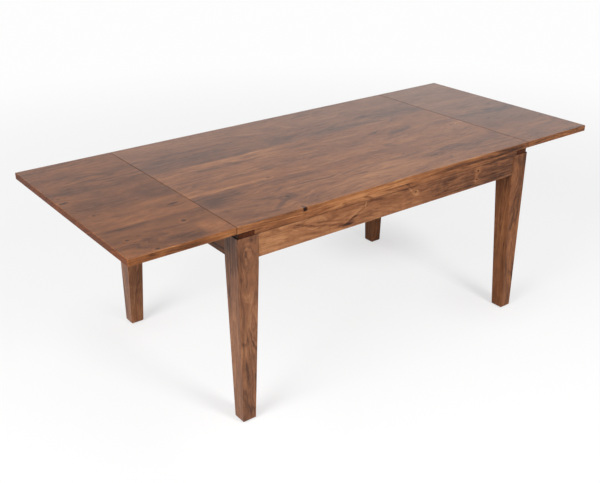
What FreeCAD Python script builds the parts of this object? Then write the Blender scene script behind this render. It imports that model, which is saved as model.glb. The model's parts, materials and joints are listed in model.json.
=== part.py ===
import FreeCAD, Part
import os
import Sketcher

# An extension dining table in solid timber: a fixed main top on four tapered
# legs, and a loose leaf at each end. Each leaf rides on two wooden bearers
# that run in under the main top, so it slides straight out and lifts away.
#
# Frame: millimetres, origin on the floor under the middle of the table,
# +X along the table to the right, +Y to the back, +Z up.

doc = FreeCAD.newDocument("extension_table")
sheet = doc.addObject("Spreadsheet::Sheet", "Sizes")


class Size:
    """A length that knows both its number and the sheet expression for it."""

    def __init__(self, value, text):
        self.value = value
        self.text = text

    def joined(self, sign, left, right, value):
        return Size(value, f"({text_of(left)} {sign} {text_of(right)})")

    def __add__(self, other):
        return self.joined("+", self, other, self.value + value_of(other))

    def __radd__(self, other):
        return self.joined("+", other, self, value_of(other) + self.value)

    def __sub__(self, other):
        return self.joined("-", self, other, self.value - value_of(other))

    def __rsub__(self, other):
        return self.joined("-", other, self, value_of(other) - self.value)

    def __mul__(self, other):
        return self.joined("*", self, other, self.value * value_of(other))

    def __rmul__(self, other):
        return self.joined("*", other, self, value_of(other) * self.value)

    def __truediv__(self, other):
        return self.joined("/", self, other, self.value / value_of(other))

    def __neg__(self):
        return self * -1


def value_of(length):
    return length.value if isinstance(length, Size) else float(length)


def text_of(length):
    return length.text if isinstance(length, Size) else f"{length:g}"


rows = []


def driving(alias, value):
    """Put one driving dimension in the sheet and return it as a Size."""
    rows.append(alias)
    row = len(rows)
    sheet.set(f"A{row}", alias)
    sheet.set(f"B{row}", str(value))
    sheet.setAlias(f"B{row}", alias)
    return Size(float(value), f"Sizes.{alias}")


# The top and its leaves.
table_height = driving("table_height", 762)
main_length = driving("main_length", 1422)
leaf_length = driving("leaf_length", 381)
top_width = driving("top_width", 914)
board_thickness = driving("board_thickness", 25)
board_easing = driving("board_easing", 2)
leaf_gap = driving("leaf_gap", 0.5)

# The strips that thicken the long edges, and the packing at the ends.
strip_height = driving("strip_height", 18)
strip_end_setback = driving("strip_end_setback", 67)
left_packer_inset = driving("left_packer_inset", 3)
right_packer_inset = driving("right_packer_inset", 9)
packer_front_inset = driving("packer_front_inset", 1)
packer_to_strip = driving("packer_to_strip", 1)

# The leg frame.
leg_square = driving("leg_square", 82)
leg_foot = driving("leg_foot", 54)
leg_easing = driving("leg_easing", 2)
taper_below_apron = driving("taper_below_apron", 20)
foot_chamfer = driving("foot_chamfer", 4)
leg_inner_cut = driving("leg_inner_cut", 12)
apron_height = driving("apron_height", 85)
apron_thickness = driving("apron_thickness", 22)
apron_inset = driving("apron_inset", 1.5)
apron_easing = driving("apron_easing", 1.5)
glide_diameter = driving("glide_diameter", 26)
glide_height = driving("glide_height", 3)
glide_rounding = driving("glide_rounding", 0.8)

# Corner blocks and the hanger bolts that pull the legs into the corners.
block_thickness = driving("block_thickness", 28)
block_height = driving("block_height", 60)
block_below_frame_top = driving("block_below_frame_top", 12)
bolt_diameter = driving("bolt_diameter", 8)
bolt_clearance = driving("bolt_clearance", 0.4)
bolt_in_leg = driving("bolt_in_leg", 40)
bolt_tip = driving("bolt_tip", 5)
washer_diameter = driving("washer_diameter", 18)
washer_thickness = driving("washer_thickness", 1.6)
nut_across_corners = driving("nut_across_corners", 15)
nut_height = driving("nut_height", 6.5)

# Cross rails, bearers and the guides beside them.
rail_position = driving("rail_position", 430)
rail_height = driving("rail_height", 85)
rail_thickness = driving("rail_thickness", 22)
bearer_spacing = driving("bearer_spacing", 460)
bearer_width = driving("bearer_width", 30)
bearer_depth = driving("bearer_depth", 40)
bearer_inside = driving("bearer_inside", 520)
bearer_outside = driving("bearer_outside", 262)
bearer_nose = driving("bearer_nose", 22)
bearer_slope = driving("bearer_slope", 45)
bearer_chamfer = driving("bearer_chamfer", 8)
bearer_relief = driving("bearer_relief", 0.4)
bearer_side_gap = driving("bearer_side_gap", 0.5)
bearer_floor_gap = driving("bearer_floor_gap", 0.2)
guide_width = driving("guide_width", 18)
guide_height = driving("guide_height", 30)
small_easing = driving("small_easing", 1)

# Cleats between the top and the long aprons, and the batten across a leaf.
cleat_length = driving("cleat_length", 820)
cleat_width = driving("cleat_width", 25)
cleat_screw_span = driving("cleat_screw_span", 700)
guide_screw_span = driving("guide_screw_span", 140)
batten_length = driving("batten_length", 800)
batten_width = driving("batten_width", 45)
batten_height = driving("batten_height", 18)
batten_position = driving("batten_position", 318)
batten_screw_span = driving("batten_screw_span", 680)

# Dowels and screws.
dowel_diameter = driving("dowel_diameter", 8)
dowel_clearance = driving("dowel_clearance", 0.2)
dowel_half_length = driving("dowel_half_length", 15)
dowel_end_room = driving("dowel_end_room", 1)
dowel_spacing = driving("dowel_spacing", 330)
screw_diameter = driving("screw_diameter", 4)
screw_grip = driving("screw_grip", 12)
screw_head_diameter = driving("screw_head_diameter", 8)
screw_head_height = driving("screw_head_height", 2.6)
counterbore_diameter = driving("counterbore_diameter", 10)
counterbore_depth = driving("counterbore_depth", 18)
bearer_screw_first = driving("bearer_screw_first", 40)
bearer_screw_pitch = driving("bearer_screw_pitch", 75)

# Levels and edges that follow from the driving dimensions.
half_length = main_length / 2
half_width = top_width / 2
underside = table_height - board_thickness
frame_top = underside - strip_height
apron_bottom = frame_top - apron_height
strip_width = apron_inset + apron_thickness
leaf_start = half_length + leaf_gap
bearer_y = bearer_spacing / 2
bearer_opening = bearer_width + 2 * bearer_side_gap
block_bottom = frame_top - block_below_frame_top - block_height
bolt_level = block_bottom + block_height / 2

PLANE_ROLES = {"plan": "XY_Plane", "front": "XZ_Plane", "side": "YZ_Plane"}
LEFT, RIGHT = -1, 1
FRONT, BACK = -1, 1
SIDES = {"left": LEFT, "right": RIGHT}
DEPTHS = {"front": FRONT, "back": BACK}
DIAGONAL = 0.5 ** 0.5
leg_flat_distance = (2 * leg_square - leg_inner_cut) * DIAGONAL

CLOSE = 0.01
SMALLEST_CUT = 1
CUT_OVERRUN = 2

sub_parts = []


def bind(item, path, length):
    if isinstance(length, Size):
        item.setExpression(path, length.text)


def place(item, x, y, z):
    bind(item, "Placement.Base.x", x)
    bind(item, "Placement.Base.y", y)
    bind(item, "Placement.Base.z", z)


def new_body(label, x, y, z, turn=0):
    """A body whose own origin stands at x, y, z, turned about the vertical."""
    body = doc.addObject("PartDesign::Body", label)
    body.Label = label
    body.AllowCompound = True
    upright = FreeCAD.Vector(0, 0, 1)
    body.Placement = FreeCAD.Placement(FreeCAD.Vector(), FreeCAD.Rotation(upright, turn))
    place(body, x, y, z)
    sub_parts.append(body)
    return body


def new_sketch(body, plane, offset=0):
    """A sketch on one of the body's own planes, moved along its normal."""
    sketch = body.newObject("Sketcher::SketchObject", f"{body.Label}_{plane}")
    role = PLANE_ROLES[plane]
    support = next(item for item in body.Origin.OriginFeatures if item.Role == role)
    sketch.AttachmentSupport = (support, [""])
    sketch.MapMode = "FlatFace"
    bind(sketch, "AttachmentOffset.Base.z", offset)
    return sketch


def pin(sketch, geometry, point, axis, length):
    """Hold one point of a sketch at its distance from the sketch's origin."""
    if value_of(length) == 0:
        axis_line = {"X": -2, "Y": -1}[axis]
        sketch.addConstraint(Sketcher.Constraint("PointOnObject", geometry, point, axis_line))
        return
    kind = "Distance" + axis
    index = sketch.addConstraint(Sketcher.Constraint(kind, geometry, point, value_of(length)))
    bind(sketch, f"Constraints[{index}]", length)


def outline(sketch, points):
    """A closed outline of straight lines with every corner dimensioned."""
    corners = [FreeCAD.Vector(value_of(x), value_of(y), 0) for x, y in points]
    first = sketch.GeometryCount
    count = len(points)
    for i in range(count):
        sketch.addGeometry(Part.LineSegment(corners[i], corners[(i + 1) % count]))
    for i in range(count):
        following = first + (i + 1) % count
        sketch.addConstraint(Sketcher.Constraint("Coincident", first + i, 2, following, 1))
    for i, (x, y) in enumerate(points):
        pin(sketch, first + i, 1, "X", x)
        pin(sketch, first + i, 1, "Y", y)


def rectangle(sketch, x, y, width, height):
    """A rectangle by its middle point."""
    left, right = x - width / 2, x + width / 2
    low, high = y - height / 2, y + height / 2
    outline(sketch, [(left, low), (right, low), (right, high), (left, high)])


def circles(sketch, centres, diameter):
    for x, y in centres:
        centre = FreeCAD.Vector(value_of(x), value_of(y), 0)
        circle = Part.Circle(centre, FreeCAD.Vector(0, 0, 1), value_of(diameter) / 2)
        index = sketch.addGeometry(circle)
        pin(sketch, index, 3, "X", x)
        pin(sketch, index, 3, "Y", y)
        size = sketch.addConstraint(Sketcher.Constraint("Diameter", index, value_of(diameter)))
        bind(sketch, f"Constraints[{size}]", diameter)


def pad(body, sketch, length, centred=False, backwards=False):
    feature = body.newObject("PartDesign::Pad", f"{body.Label}_pad")
    feature.Profile = sketch
    bind(feature, "Length", length)
    feature.Midplane = centred
    feature.Reversed = backwards
    doc.recompute()
    return feature


def pocket(body, sketch, depth, centred=False, backwards=False):
    """Cut a sketch into its body and make sure that timber really went."""
    before = body.Shape.Volume
    feature = body.newObject("PartDesign::Pocket", f"{body.Label}_pocket")
    feature.Profile = sketch
    bind(feature, "Length", depth)
    feature.Midplane = centred
    feature.Reversed = backwards
    doc.recompute()
    if body.Shape.Volume > before - SMALLEST_CUT:
        raise RuntimeError(f"a pocket in {body.Label} cuts nothing")
    return feature


def ease(body, radius, wanted, kind="Fillet"):
    """Round or chamfer those edges of the body that the test picks out."""
    tip = body.Tip
    edges = enumerate(tip.Shape.Edges, 1)
    names = [f"Edge{number}" for number, edge in edges if wanted(edge)]
    feature = body.newObject(f"PartDesign::{kind}", f"{body.Label}_{kind.lower()}")
    feature.Base = (tip, names)
    bind(feature, "Radius" if kind == "Fillet" else "Size", radius)
    doc.recompute()
    return feature


def every_edge(edge):
    return True


def round_edge(edge):
    return isinstance(edge.Curve, Part.Circle)


def low_edge(height=0):
    """A test for edges that lie flat at one height of the body's own frame."""
    def test(edge):
        box = edge.BoundBox
        return abs(box.ZMin - height) < CLOSE and abs(box.ZMax - height) < CLOSE
    return test


def timber(label, x, y, z, length, width, height, easing):
    """A straight eased piece, centred on x and y, with its lower face at z."""
    body = new_body(label, x, y, z)
    sketch = new_sketch(body, "plan")
    rectangle(sketch, 0, 0, length, width)
    pad(body, sketch, height)
    ease(body, easing, every_edge)
    return body


def drill(body, plane, level, centres, diameter, depth, backwards=False):
    sketch = new_sketch(body, plane, level)
    circles(sketch, centres, diameter)
    return pocket(body, sketch, depth, backwards=backwards)


def screw_group(label, z, places, shank):
    """Round-head screws driven straight up, their heads bearing at height z."""
    body = new_body(label, 0, 0, z)
    heads = new_sketch(body, "plan")
    circles(heads, places, screw_head_diameter)
    pad(body, heads, screw_head_height, backwards=True)
    ease(body, small_easing, low_edge(-value_of(screw_head_height)))
    shanks = new_sketch(body, "plan")
    circles(shanks, places, screw_diameter)
    pad(body, shanks, shank)
    return body


def spread(count, span):
    """Evenly spaced places over a span, centred on zero."""
    step = span / (count - 1)
    return [step * (i - (count - 1) / 2) for i in range(count)]


# ---------------------------------------------------------------- screw places

cleat_y = half_width - strip_width - cleat_width / 2
cleat_screw_steps = spread(4, cleat_screw_span)
cleat_screws = [(x, depth * cleat_y) for depth in (FRONT, BACK) for x in cleat_screw_steps]

guide_start = half_length - strip_end_setback
guide_end = rail_position + rail_thickness / 2
guide_length = guide_start - guide_end
guide_x = (guide_start + guide_end) / 2
guide_offset = bearer_opening / 2 + guide_width / 2
guide_screw_steps = spread(2, guide_screw_span)
guide_screws = [
    (side * (guide_x + step), depth * bearer_y + edge * guide_offset)
    for side in (LEFT, RIGHT)
    for depth in (FRONT, BACK)
    for edge in (FRONT, BACK)
    for step in guide_screw_steps
]

bearer_screw_steps = [bearer_screw_first + bearer_screw_pitch * i for i in range(3)]
dowel_places = [-dowel_spacing, 0, dowel_spacing]
batten_screw_places = spread(5, batten_screw_span)


# ---------------------------------------------------------------- the main top

def make_main_top():
    """One glued panel, drilled in both ends for the dowels of the leaves and
    underneath for the screws of the cleats and guides."""
    body = timber("main_top", 0, 0, underside, main_length, top_width, board_thickness, board_easing)
    holes = [(y, board_thickness / 2) for y in dowel_places]
    hole_depth = dowel_half_length + dowel_end_room
    hole_diameter = dowel_diameter + dowel_clearance
    drill(body, "side", -half_length, holes, hole_diameter, hole_depth, backwards=True)
    drill(body, "side", half_length, holes, hole_diameter, hole_depth)
    drill(body, "plan", 0, cleat_screws + guide_screws, screw_diameter, screw_grip, backwards=True)


def make_edge_strips():
    """Strips glued under the long edges, lying on the aprons. They stop short
    of the corners, which leaves an open slot over each leg."""
    length = main_length - 2 * strip_end_setback
    for name, depth in DEPTHS.items():
        y = depth * (half_width - strip_width / 2)
        timber(f"{name}_edge_strip", 0, y, frame_top, length, strip_width, strip_height, small_easing)


def make_end_packers():
    """Packing in the slot at each end, in three pieces, so that the two
    bearers of the leaf pass between them. It fills the slot from the strips
    nearly to the end of the top, and its ends show over the legs."""
    middle = bearer_spacing - bearer_opening
    outer_edge = half_width - packer_front_inset
    inner_edge = bearer_y + bearer_opening / 2
    outer = outer_edge - inner_edge
    outer_y = (outer_edge + inner_edge) / 2
    insets = {"left": left_packer_inset, "right": right_packer_inset}
    for name, side in SIDES.items():
        length = strip_end_setback - packer_to_strip - insets[name]
        x = side * (half_length - insets[name] - length / 2)
        body = new_body(f"{name}_end_packers", x, 0, frame_top)
        sketch = new_sketch(body, "plan")
        rectangle(sketch, 0, 0, length, middle)
        rectangle(sketch, 0, outer_y, length, outer)
        rectangle(sketch, 0, -outer_y, length, outer)
        pad(body, sketch, strip_height)


# --------------------------------------------------------------- the leg frame

def make_leg(label, x, y, turn):
    """A square leg whose two inner faces are sawn to a taper. Its own origin
    is the foot of the outer corner, and it stands towards +X and +Y."""
    body = new_body(label, x, y, glide_height, turn)
    plan = new_sketch(body, "plan")
    rectangle(plan, leg_square / 2, leg_square / 2, leg_square, leg_square)
    pad(body, plan, frame_top - glide_height)

    taper_top = apron_bottom - taper_below_apron - glide_height
    wedge = [(leg_foot, 0), (leg_square, 0), (leg_square, taper_top)]
    for plane, backwards in (("front", False), ("side", True)):
        face = new_sketch(body, plane)
        outline(face, wedge)
        pocket(body, face, leg_square, backwards=backwards)

    def arris(edge):
        """The three long arrises that show, straight and tapered parts alike."""
        box = edge.BoundBox
        middle = value_of(leg_foot) / 2
        upright = box.ZLength > 2 * value_of(foot_chamfer)
        inner = box.XMin > middle and box.YMin > middle
        return upright and not inner

    ease(body, foot_chamfer, low_edge(), "Chamfer")
    ease(body, leg_easing, arris)

    corner = new_sketch(body, "plan", apron_bottom - glide_height)
    cut = leg_square - leg_inner_cut
    outline(corner, [(leg_square, cut), (leg_square, leg_square), (cut, leg_square)])
    pocket(body, corner, apron_height, backwards=True)

    hole = new_sketch(body, "plan")
    diagonal = FreeCAD.Rotation(FreeCAD.Vector(0, 0, 1), FreeCAD.Vector(1, 1, 0))
    hole.AttachmentOffset = FreeCAD.Placement(FreeCAD.Vector(), diagonal)
    flat = leg_square - leg_inner_cut / 2
    bind(hole, "AttachmentOffset.Base.x", flat)
    bind(hole, "AttachmentOffset.Base.y", flat)
    bind(hole, "AttachmentOffset.Base.z", bolt_level - glide_height)
    circles(hole, [(0, 0)], bolt_diameter)
    pocket(body, hole, bolt_in_leg)


def make_glide(label, x, y):
    body = new_body(label, x, y, 0)
    sketch = new_sketch(body, "plan")
    circles(sketch, [(0, 0)], glide_diameter)
    pad(body, sketch, glide_height)
    ease(body, glide_rounding, low_edge())


def make_corner_block(label, x, y, turn):
    """A block glued across the corner between two aprons, in the same frame
    as its leg. The hanger bolt of the leg passes through its middle."""
    body = new_body(label, x, y, block_bottom, turn)
    wall = apron_inset + apron_thickness
    near = 2 * leg_square - leg_inner_cut
    far = near + block_thickness / DIAGONAL
    plan = new_sketch(body, "plan")
    outline(plan, [(near - wall, wall), (far - wall, wall), (wall, far - wall), (wall, near - wall)])
    pad(body, plan, block_height)

    hole = new_sketch(body, "plan")
    diagonal = FreeCAD.Rotation(FreeCAD.Vector(0, 0, 1), FreeCAD.Vector(1, 1, 0))
    hole.AttachmentOffset = FreeCAD.Placement(FreeCAD.Vector(), diagonal)
    bind(hole, "AttachmentOffset.Base.x", far / 2)
    bind(hole, "AttachmentOffset.Base.y", far / 2)
    bind(hole, "AttachmentOffset.Base.z", block_height / 2)
    circles(hole, [(0, 0)], bolt_diameter + bolt_clearance)
    pocket(body, hole, block_thickness)


def make_corners():
    turns = {"front_left": 0, "front_right": 90, "back_right": 180, "back_left": 270}
    for name, turn in turns.items():
        depth_name, side_name = name.split("_")
        side, depth = SIDES[side_name], DEPTHS[depth_name]
        x, y = side * half_length, depth * half_width
        make_leg(f"{name}_leg", x, y, turn)
        make_corner_block(f"{name}_corner_block", x, y, turn)
        make_glide(f"{name}_glide", x - side * leg_foot / 2, y - depth * leg_foot / 2)


def make_long_aprons():
    length = main_length - 2 * leg_square
    for name, depth in DEPTHS.items():
        y = depth * (half_width - apron_inset - apron_thickness / 2)
        timber(f"{name}_apron", 0, y, apron_bottom, length, apron_thickness, apron_height, apron_easing)


def cut_bearer_notches(body, depth, height, thickness):
    """Notches in the upper edge of a cross piece, one for each bearer."""
    sketch = new_sketch(body, "side")
    for side in (FRONT, BACK):
        rectangle(sketch, side * bearer_y, height - depth / 2, bearer_opening, depth)
    pocket(body, sketch, thickness + CUT_OVERRUN, centred=True)


def make_end_aprons():
    length = top_width - 2 * leg_square
    notch = bearer_depth - strip_height + bearer_floor_gap
    for name, side in SIDES.items():
        x = side * (half_length - apron_inset - apron_thickness / 2)
        body = timber(f"{name}_end_apron", x, 0, apron_bottom,
                      apron_thickness, length, apron_height, apron_easing)
        cut_bearer_notches(body, notch, apron_height, apron_thickness)


def make_cross_rails():
    """Rails across the frame that carry the main top and the inner ends of
    the bearers."""
    length = top_width - 2 * strip_width
    notch = bearer_depth + bearer_floor_gap
    for name, side in SIDES.items():
        x = side * rail_position
        z = underside - rail_height
        body = timber(f"{name}_cross_rail", x, 0, z, rail_thickness, length, rail_height, small_easing)
        cut_bearer_notches(body, notch, rail_height, rail_thickness)


def make_top_cleats():
    """Cleats screwed to the long aprons and up into the main top."""
    z = underside - guide_height
    for name, depth in DEPTHS.items():
        y = depth * cleat_y
        body = timber(f"{name}_top_cleat", 0, y, z, cleat_length, cleat_width, guide_height, small_easing)
        upward = [(x, 0) for x in cleat_screw_steps]
        drill(body, "plan", 0, upward, screw_diameter, guide_height, backwards=True)


def make_bearer_guides():
    """Two strips beside each bearer, screwed up into the main top."""
    z = underside - guide_height
    for side_name, side in SIDES.items():
        for depth_name, depth in DEPTHS.items():
            label = f"{side_name}_{depth_name}_bearer_guides"
            body = new_body(label, side * guide_x, depth * bearer_y, z)
            sketch = new_sketch(body, "plan")
            rectangle(sketch, 0, guide_offset, guide_length, guide_width)
            rectangle(sketch, 0, -guide_offset, guide_length, guide_width)
            pad(body, sketch, guide_height)
            ease(body, small_easing, low_edge())
            holes = [(x, edge * guide_offset) for x in guide_screw_steps for edge in (FRONT, BACK)]
            drill(body, "plan", 0, holes, screw_diameter, guide_height, backwards=True)


def make_top_screws():
    z = underside - guide_height
    screw_group("top_screws", z, cleat_screws + guide_screws, guide_height + screw_grip)


# -------------------------------------------------------------- the leg fixings

def on_diagonal(item, side, depth, distance):
    """Lay an item's own axis along a corner's diagonal, pointing inwards,
    with its foot at a distance from the outer corner of the leg."""
    inwards = FreeCAD.Vector(-side, -depth, 0)
    turn = FreeCAD.Rotation(FreeCAD.Vector(0, 0, 1), inwards)
    item.Placement = FreeCAD.Placement(FreeCAD.Vector(), turn)
    reach = distance * DIAGONAL
    place(item, side * (half_length - reach), depth * (half_width - reach), bolt_level)


def cylinder(name, diameter, height):
    item = doc.addObject("Part::Cylinder", name)
    bind(item, "Radius", diameter / 2)
    bind(item, "Height", height)
    return item


def drilled(name, outer, hole):
    cut = doc.addObject("Part::Cut", name)
    cut.Base = outer
    cut.Tool = hole
    return cut


def group(label, items):
    compound = doc.addObject("Part::Compound", label)
    compound.Label = label
    compound.Links = items
    sub_parts.append(compound)


def make_hanger_bolts():
    """In each corner a bolt screwed into the leg, which passes through the
    corner block and carries a washer and a nut."""
    bolts, washers, nuts = [], [], []
    face = leg_flat_distance + block_thickness
    for side in (LEFT, RIGHT):
        for depth in (FRONT, BACK):
            start = leg_flat_distance - bolt_in_leg
            length = bolt_in_leg + block_thickness + washer_thickness + nut_height + bolt_tip
            bolt = cylinder("bolt", bolt_diameter, length)
            on_diagonal(bolt, side, depth, start)
            bolts.append(bolt)

            disc = cylinder("washer_disc", washer_diameter, washer_thickness)
            eye = cylinder("washer_eye", bolt_diameter + bolt_clearance, washer_thickness)
            for item in (disc, eye):
                on_diagonal(item, side, depth, face)
            washers.append(drilled("washer", disc, eye))

            hexagon = doc.addObject("Part::Prism", "nut_hexagon")
            hexagon.Polygon = 6
            bind(hexagon, "Circumradius", nut_across_corners / 2)
            bind(hexagon, "Height", nut_height)
            thread = cylinder("nut_thread", bolt_diameter, nut_height)
            for item in (hexagon, thread):
                on_diagonal(item, side, depth, face + washer_thickness)
            nuts.append(drilled("nut", hexagon, thread))
    group("hanger_bolts", bolts)
    group("hanger_bolt_washers", washers)
    group("hanger_bolt_nuts", nuts)


# ------------------------------------------------------------------- the leaves

def make_leaf(name, side):
    """One leaf: a panel, two bearers that run in under the main top, a batten
    near the outer end that keeps it flat, dowels in the inner edge, screws."""
    x = side * (leaf_start + leaf_length / 2)
    panel = timber(f"{name}_leaf", x, 0, underside, leaf_length, top_width, board_thickness, board_easing)
    holes = [(y, board_thickness / 2) for y in dowel_places]
    inner_edge = -side * leaf_length / 2
    drill(panel, "side", inner_edge, holes, dowel_diameter, dowel_half_length, backwards=side == RIGHT)

    bearer_places = [(side * (half_length + step), depth * bearer_y)
                     for step in bearer_screw_steps for depth in (FRONT, BACK)]
    batten_x = side * (half_length + batten_position)
    batten_places = [(batten_x, y) for y in batten_screw_places]
    pilots = [(px - x, py) for px, py in bearer_places + batten_places]
    drill(panel, "plan", 0, pilots, screw_diameter, screw_grip, backwards=True)

    for depth_name, depth in DEPTHS.items():
        make_bearer(f"{name}_{depth_name}_bearer", side, depth)

    batten = timber(f"{name}_leaf_batten", batten_x, 0, underside - batten_height,
                    batten_width, batten_length, batten_height, small_easing)
    clear = [(0, y) for y in batten_screw_places]
    drill(batten, "plan", 0, clear, screw_diameter, batten_height, backwards=True)

    seat = underside - bearer_depth + counterbore_depth
    bearer_shank = bearer_depth - counterbore_depth + screw_grip
    screw_group(f"{name}_bearer_screws", seat, bearer_places, bearer_shank)
    batten_shank = batten_height + screw_grip
    screw_group(f"{name}_batten_screws", underside - batten_height, batten_places, batten_shank)

    dowels = new_body(f"{name}_leaf_dowels", side * leaf_start, 0, underside)
    sketch = new_sketch(dowels, "side")
    circles(sketch, holes, dowel_diameter)
    pad(dowels, sketch, 2 * dowel_half_length, centred=True)
    ease(dowels, small_easing, round_edge, "Chamfer")


def make_bearer(label, side, depth):
    """A bearer in its own frame: origin on the end of the main top, X out
    under the leaf, its upper face at zero there and relieved farther in."""
    turn = 0 if side == RIGHT else 180
    body = new_body(label, side * half_length, depth * bearer_y, underside, turn)
    profile = new_sketch(body, "front")
    outline(profile, [
        (bearer_outside, 0),
        (bearer_outside, -bearer_nose),
        (bearer_outside - bearer_slope, -bearer_depth),
        (bearer_chamfer - bearer_inside, -bearer_depth),
        (-bearer_inside, bearer_chamfer - bearer_depth),
        (-bearer_inside, -bearer_relief),
        (leaf_gap, -bearer_relief),
        (leaf_gap, 0),
    ])
    pad(body, profile, bearer_width, centred=True)
    ease(body, small_easing, low_edge(-value_of(bearer_depth)))
    places = [(step, 0) for step in bearer_screw_steps]
    drill(body, "plan", -bearer_depth, places, counterbore_diameter, counterbore_depth, backwards=True)
    drill(body, "plan", -bearer_depth, places, screw_diameter, bearer_depth, backwards=True)


make_main_top()
make_edge_strips()
make_end_packers()
make_corners()
make_long_aprons()
make_end_aprons()
make_cross_rails()
make_top_cleats()
make_bearer_guides()
make_top_screws()
make_hanger_bolts()
for side_name, side_sign in SIDES.items():
    make_leaf(side_name, side_sign)

doc.recompute()
failed = [item.Name for item in doc.Objects if {"Invalid", "Error"} & set(item.State)]
for part in sub_parts:
    if part.Shape.isNull() or not part.Shape.isValid() or part.Shape.Volume <= 0:
        failed.append(part.Label)
if failed:
    raise RuntimeError("these objects failed: " + ", ".join(failed))

os.makedirs("parts", exist_ok=True)
for part in sub_parts:
    part.Shape.exportStep(f"parts/{part.Label}.step")
    solids = len(part.Shape.Solids)
    box = part.Shape.BoundBox
    print(f"{part.Label:28s} solids {solids:2d}  x {box.XMin:8.1f} {box.XMax:8.1f}"
          f"  y {box.YMin:7.1f} {box.YMax:7.1f}  z {box.ZMin:6.1f} {box.ZMax:6.1f}")
print(len(sub_parts), "sub-parts")
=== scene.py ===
import json
import math
import random

import bmesh
import bpy
from mathutils import Matrix, Vector

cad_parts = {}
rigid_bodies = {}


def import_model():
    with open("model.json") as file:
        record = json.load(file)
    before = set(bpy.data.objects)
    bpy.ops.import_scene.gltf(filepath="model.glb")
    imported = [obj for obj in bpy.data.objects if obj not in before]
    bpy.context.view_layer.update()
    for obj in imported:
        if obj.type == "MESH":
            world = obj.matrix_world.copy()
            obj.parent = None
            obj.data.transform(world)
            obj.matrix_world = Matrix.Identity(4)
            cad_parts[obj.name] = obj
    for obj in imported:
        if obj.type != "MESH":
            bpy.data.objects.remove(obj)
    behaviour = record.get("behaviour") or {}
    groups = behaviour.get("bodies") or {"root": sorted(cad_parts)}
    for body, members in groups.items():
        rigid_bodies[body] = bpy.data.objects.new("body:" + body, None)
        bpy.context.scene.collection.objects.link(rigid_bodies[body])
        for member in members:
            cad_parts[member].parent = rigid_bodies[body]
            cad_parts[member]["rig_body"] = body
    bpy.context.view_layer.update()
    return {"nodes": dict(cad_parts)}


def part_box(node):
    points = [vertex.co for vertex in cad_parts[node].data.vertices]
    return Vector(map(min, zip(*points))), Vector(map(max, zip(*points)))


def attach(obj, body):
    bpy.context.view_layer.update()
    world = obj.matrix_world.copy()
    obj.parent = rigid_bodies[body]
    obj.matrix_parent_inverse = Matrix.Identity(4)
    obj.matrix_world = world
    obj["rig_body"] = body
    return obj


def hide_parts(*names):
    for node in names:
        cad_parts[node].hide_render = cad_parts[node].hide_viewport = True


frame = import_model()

nodes = frame["nodes"]


# ------------------------
# The studio: a pale floor without an edge under an even sky of light. One broad soft lamp stands
# high beyond the table's left end and one before its long side, and a third hangs overhead.

CAMERA_PLACE = (-2.022, -2.5188, 1.8506)
CAMERA_TILT = math.radians(90 - 25.03)
CAMERA_TURN = math.radians(-37.14)
CAMERA_LENS = 50.55
SENSOR_WIDTH = 36.0


def add_object(name, data):
    made = bpy.data.objects.new(name, data)
    bpy.context.scene.collection.objects.link(made)
    return made


camera = add_object("camera", bpy.data.cameras.new("camera"))
camera.data.sensor_width = SENSOR_WIDTH
camera.data.lens = CAMERA_LENS
camera.location = CAMERA_PLACE
camera.rotation_euler = (CAMERA_TILT, 0.0, CAMERA_TURN)
bpy.context.scene.camera = camera
bpy.context.scene.view_settings.view_transform = "Standard"


def put(tree, kind, plugs=None, **settings):
    """Adds a shader node, makes its settings, and wires or fills its sockets."""
    made = tree.nodes.new("ShaderNode" + kind)
    for name, value in settings.items():
        setattr(made, name, value)
    for socket, value in (plugs or {}).items():
        if isinstance(value, bpy.types.NodeSocket):
            tree.links.new(value, made.inputs[socket])
        else:
            made.inputs[socket].default_value = value
    return made


def reckon(tree, operation, *terms):
    """One step of arithmetic on numbers, as a node's output."""
    return put(tree, "Math", dict(enumerate(terms)), operation=operation).outputs[0]


def times(tree, first, second):
    return reckon(tree, "MULTIPLY", first, second)


def fade(tree, value, start, end):
    """Rises smoothly from 0 at start to 1 at end."""
    limits = {"Value": value, "From Min": start, "From Max": end}
    return put(tree, "MapRange", limits, interpolation_type="SMOOTHSTEP").outputs[0]


def between(tree, value, low, high):
    """Takes 0 to 1 on to low to high."""
    return put(tree, "MapRange", {"Value": value, "To Min": low, "To Max": high}).outputs[0]


def tint(tree, kind, share, first, second):
    """A mix of two colours, as a node's output."""
    return put(tree, "MixRGB", {0: share, 1: first, 2: second}, blend_type=kind).outputs[0]


def reckon_vector(tree, operation, *terms):
    """One step of arithmetic on vectors, as a node's output."""
    made = put(tree, "VectorMath", dict(enumerate(terms)), operation=operation)
    single = operation in ("LENGTH", "DOT_PRODUCT")
    return made.outputs["Value" if single else "Vector"]


def weigh(tree, start, *parts):
    """A starting value plus each part times its weight."""
    total = start
    for part, weight in parts:
        total = reckon(tree, "MULTIPLY_ADD", part, weight, total)
    return total


SKY_WHITE = (0.985, 0.985, 0.985, 1.0)
SKY_LIGHT = (0.25, 0.25, 0.254, 1.0)
SHEEN_LOW = (1.35, 1.35, 1.37, 1.0)
SHEEN_HIGH = (0.25, 0.25, 0.255, 1.0)
SHEEN_FROM, SHEEN_TO = 0.21, 0.43

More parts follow.
